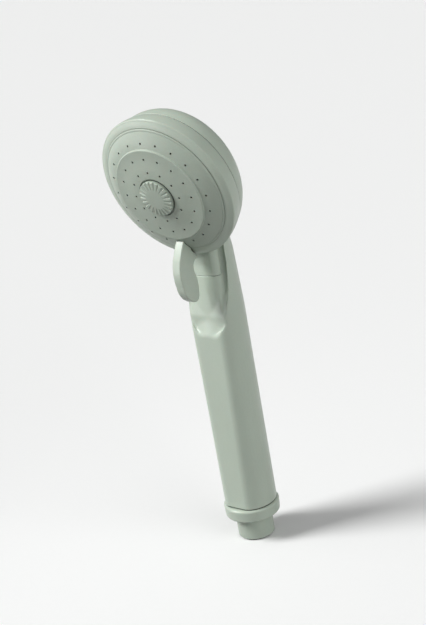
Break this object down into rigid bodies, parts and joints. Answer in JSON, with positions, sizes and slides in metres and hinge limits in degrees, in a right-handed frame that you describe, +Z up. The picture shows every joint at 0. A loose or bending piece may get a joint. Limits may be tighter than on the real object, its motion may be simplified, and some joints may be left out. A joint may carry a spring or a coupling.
{
  "type": "handheld shower head",
  "caption": "Handheld shower head: straight handle with a thumb recess, tilted round head with a stepped spray plate, fluted centre button and a swinging selector lever.",
  "frame": {"origin": "centre of the inlet nipple's end face, where the hose washer seats", "axes": "+Z up the handle's axis to the head, -Y the way the spray face looks, X across, with x = 0 the plane of symmetry"},
  "size_m": [0.0816, 0.0519, 0.2538],
  "materials": {
    "body_plastic": "satin moulded plastic, pale grey green, slightly glossy",
    "face_plastic": "satin moulded plastic, pale grey green, slightly duller than the handle",
    "lever_plastic": "satin moulded plastic, pale grey green",
    "thread_plastic": "moulded plastic with a cut pipe thread",
    "inner_plastic": "natural white moulded plastic",
    "turbine_plastic": "low friction moulded plastic",
    "rubber": "black sealing rubber",
    "steel": "stainless steel, bright"
  },
  "bodies": {
    "handle": {"handle_shell": "body_plastic", "front_cover": "body_plastic", "inlet_nipple": "thread_plastic", "end_collar": "body_plastic", "nipple_oring": "rubber", "tube_foot_oring": "rubber", "tube_head_oring": "rubber", "inlet_strainer": "inner_plastic", "flow_restrictor": "inner_plastic", "waterway_tube": "inner_plastic", "manifold": "inner_plastic", "manifold_screws": "steel", "port_seal": "rubber", "port_seal_springs": "steel", "detent_spring": "steel", "centre_screw": "steel", "thrust_washer": "steel"},
    "selector": {"spray_plate": "face_plastic", "chamber_plate": "inner_plastic", "plate_oring": "rubber", "centre_rosette": "face_plastic", "selector_lever": "lever_plastic", "lever_screw": "steel", "jet_ring": "inner_plastic"},
    "turbine": {"turbine_rotor": "turbine_plastic"},
    "detent": {"detent_ball": "steel"}
  },
  "joints": [
    {"name": "selector_turn", "type": "hinge", "parent": "handle", "child": "selector", "pos_m": [0, -0.0291, 0.211], "axis": [0, -0.9613, -0.2756], "range_deg": [-35, 35]},
    {"name": "turbine_spin", "type": "hinge", "parent": "selector", "child": "turbine", "pos_m": [0, -0.0291, 0.211], "axis": [0, -0.9613, -0.2756], "continuous": true},
    {"name": "detent_slide", "type": "slide", "parent": "handle", "child": "detent", "axis": [0, -0.9613, -0.2756], "range_m": [0, 0.0006], "stiffness_N_per_m": 500, "deforming": ["detent_spring"]}
  ]
}
